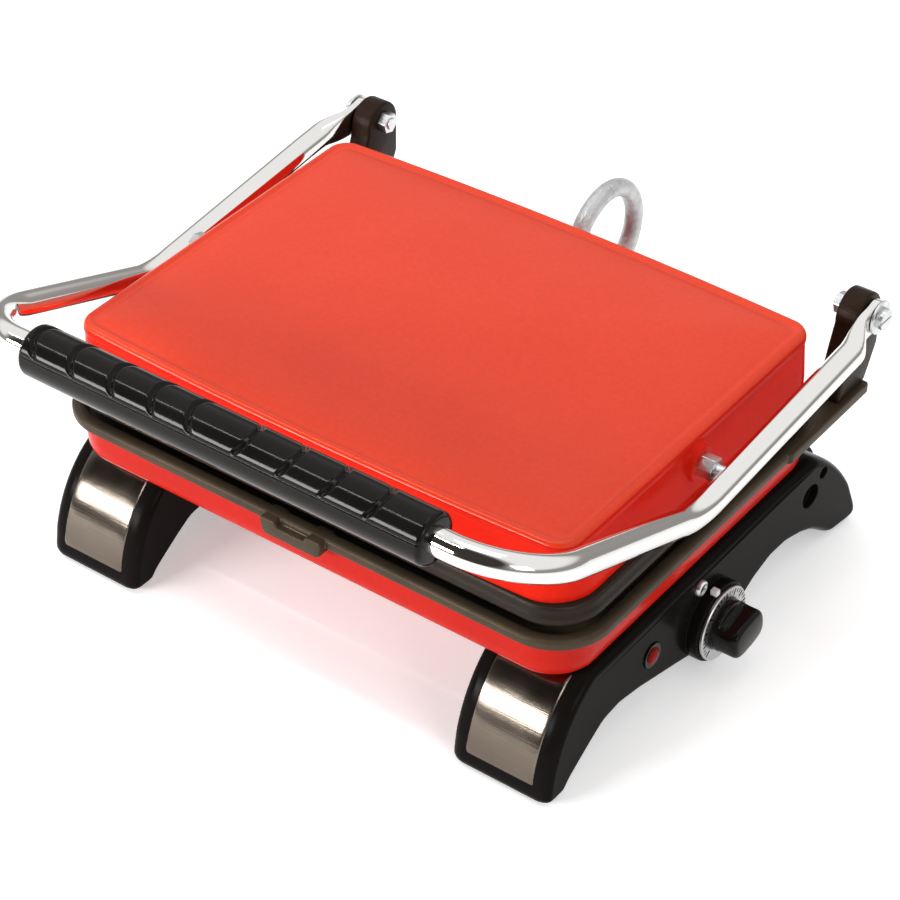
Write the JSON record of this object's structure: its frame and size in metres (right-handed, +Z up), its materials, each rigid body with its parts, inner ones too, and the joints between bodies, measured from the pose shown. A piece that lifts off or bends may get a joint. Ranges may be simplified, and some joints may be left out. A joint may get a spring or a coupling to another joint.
{
  "type": "contact grill",
  "caption": "Closed contact grill: bow-shaped chrome handle with a black grip over a domed enamelled lid and ribbed cast plates on two arched legs.",
  "frame": {"origin": "on the ground, under the middle of the whole press's outline, knob included; the plates are centred 2.7 mm to its left", "axes": "+X to the right as seen from the front (control side), +Y to the back, +Z up"},
  "size_m": [0.3375, 0.3402, 0.1755],
  "materials": {
    "red_enamel": "gloss",
    "dark_cast": "satin",
    "brown_cast": "satin",
    "black_bakelite": "gloss",
    "brushed_trim": "satin",
    "chrome_tube": "gloss",
    "steel_hardware": "satin",
    "scale_metal": "satin",
    "heater_sheath": "matte",
    "reflector_sheet": "satin",
    "foot_rubber": "matte",
    "lamp_red": "gloss",
    "white_mark": "matte",
    "ceramic": "matte",
    "copper_tube": "satin",
    "sleeving": "matte",
    "hose_grey": "matte"
  },
  "bodies": {
    "base": {"base_shell": "red_enamel", "lower_grill_plate": "dark_cast", "lower_heating_element": "heater_sheath", "lower_element_clamps": "steel_hardware", "lower_reflector": "reflector_sheet", "hinge_post_left": "brown_cast", "hinge_post_right": "brown_cast", "post_screws": "steel_hardware", "pivot_bolts": "steel_hardware", "pivot_washers": "steel_hardware", "pivot_nuts": "steel_hardware", "leg_left": "black_bakelite", "leg_right": "black_bakelite", "leg_left_trim": "brushed_trim", "leg_right_trim": "brushed_trim", "rubber_feet": "foot_rubber", "leg_screws": "steel_hardware", "leg_side_screw": "steel_hardware", "cable_gland": "foot_rubber", "thermostat_body": "ceramic", "thermostat_bracket": "steel_hardware", "thermostat_capillary": "copper_tube", "index_mark": "white_mark", "indicator_lens": "lamp_red", "indicator_holder": "black_bakelite", "terminal_block": "ceramic", "wiring": "sleeving", "hose_lower_gland": "steel_hardware", "hose_lower": "hose_grey"},
    "handle": {"handle_tube": "chrome_tube", "grip_upper": "black_bakelite", "grip_lower": "black_bakelite", "grip_screws": "steel_hardware"},
    "upper_plate": {"lid_shell": "red_enamel", "upper_grill_plate": "dark_cast", "upper_heating_element": "heater_sheath", "upper_element_clamps": "steel_hardware", "upper_reflector": "reflector_sheet", "plate_pivot_studs": "steel_hardware", "lid_screws": "steel_hardware", "hose_upper_gland": "steel_hardware", "hose_upper": "hose_grey"},
    "knob": {"thermostat_shaft": "steel_hardware", "dial_ring": "scale_metal", "thermostat_knob": "black_bakelite"}
  },
  "joints": [
    {"name": "handle_hinge", "type": "hinge", "parent": "base", "child": "handle", "pos_m": [-0.0027, 0.135, 0.126], "axis": [-1, 0, 0], "range_deg": [0, 95], "deforming": ["hose_upper", "hose_lower"]},
    {"name": "plate_tilt", "type": "hinge", "parent": "handle", "child": "upper_plate", "pos_m": [-0.0027, 0, 0.118], "axis": [1, 0, 0], "range_deg": [-2.5, 2.5]},
    {"name": "knob_turn", "type": "hinge", "parent": "base", "child": "knob", "pos_m": [0.1543, 0.009, 0.0226], "axis": [-1, 0, 0], "range_deg": [0, 280]}
  ]
}
